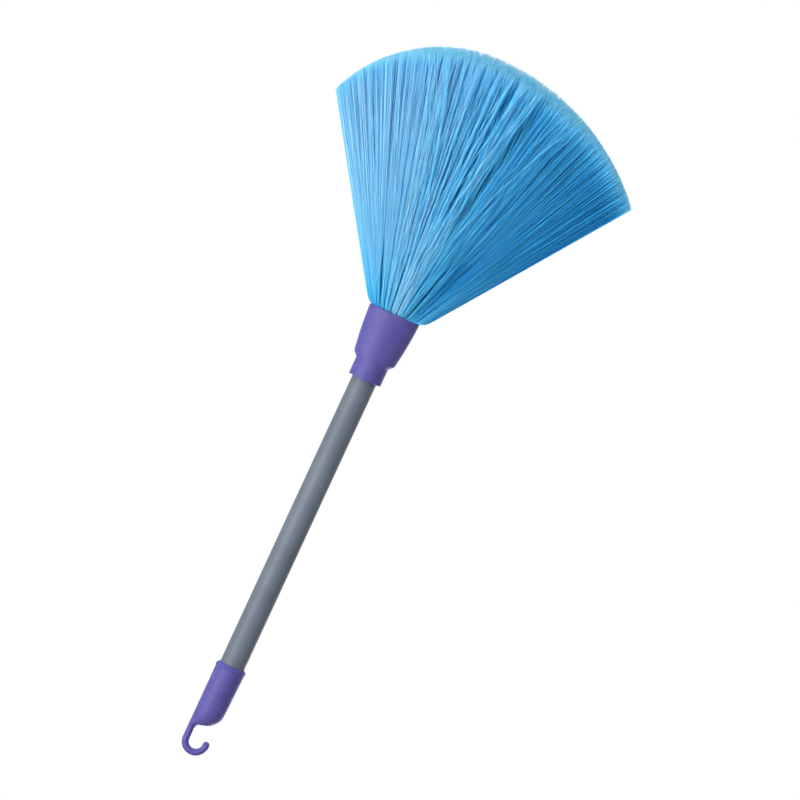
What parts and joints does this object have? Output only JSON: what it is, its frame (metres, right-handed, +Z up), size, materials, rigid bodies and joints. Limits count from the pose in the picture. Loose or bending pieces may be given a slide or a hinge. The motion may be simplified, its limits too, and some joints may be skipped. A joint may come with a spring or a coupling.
{
  "type": "synthetic duster",
  "caption": "Hand duster with a trimmed fan of fine synthetic fibres in an oval flared ferrule, on a coated steel tube with a moulded hook cap.",
  "frame": {"origin": "top of the hook's bowl on its inside, where a peg bears, on the tube's axis", "axes": "+Z up along the tube from the fibres to the hook, +X towards the hook's strap and across the fan's width, Y across the fan's depth"},
  "size_m": [0.2703, 0.1098, 0.6497],
  "materials": {
    "purple_plastic": "moulded polypropylene, semi-gloss, purple",
    "coated_steel": "powder-coated steel tube, satin grey",
    "blue_fibre": "fine drawn polyester fibre, sky blue, soft sheen",
    "hot_melt_glue": "set hot-melt glue, translucent amber",
    "zinc_band": "zinc-plated steel strip"
  },
  "bodies": {
    "root": {"handle_tube": "coated_steel", "hook_cap": "purple_plastic", "ferrule": "purple_plastic", "glue_pad": "hot_melt_glue", "binding_band": "zinc_band", "tuft_front_1": "blue_fibre", "tuft_front_2": "blue_fibre", "tuft_front_3": "blue_fibre", "tuft_front_4": "blue_fibre", "tuft_front_5": "blue_fibre", "tuft_front_6": "blue_fibre", "tuft_front_7": "blue_fibre", "tuft_middle_1": "blue_fibre", "tuft_middle_2": "blue_fibre", "tuft_middle_3": "blue_fibre", "tuft_middle_4": "blue_fibre", "tuft_middle_5": "blue_fibre", "tuft_middle_6": "blue_fibre", "tuft_middle_7": "blue_fibre", "tuft_back_1": "blue_fibre", "tuft_back_2": "blue_fibre", "tuft_back_3": "blue_fibre", "tuft_back_4": "blue_fibre", "tuft_back_5": "blue_fibre", "tuft_back_6": "blue_fibre", "tuft_back_7": "blue_fibre"}
  },
  "joints": []
}
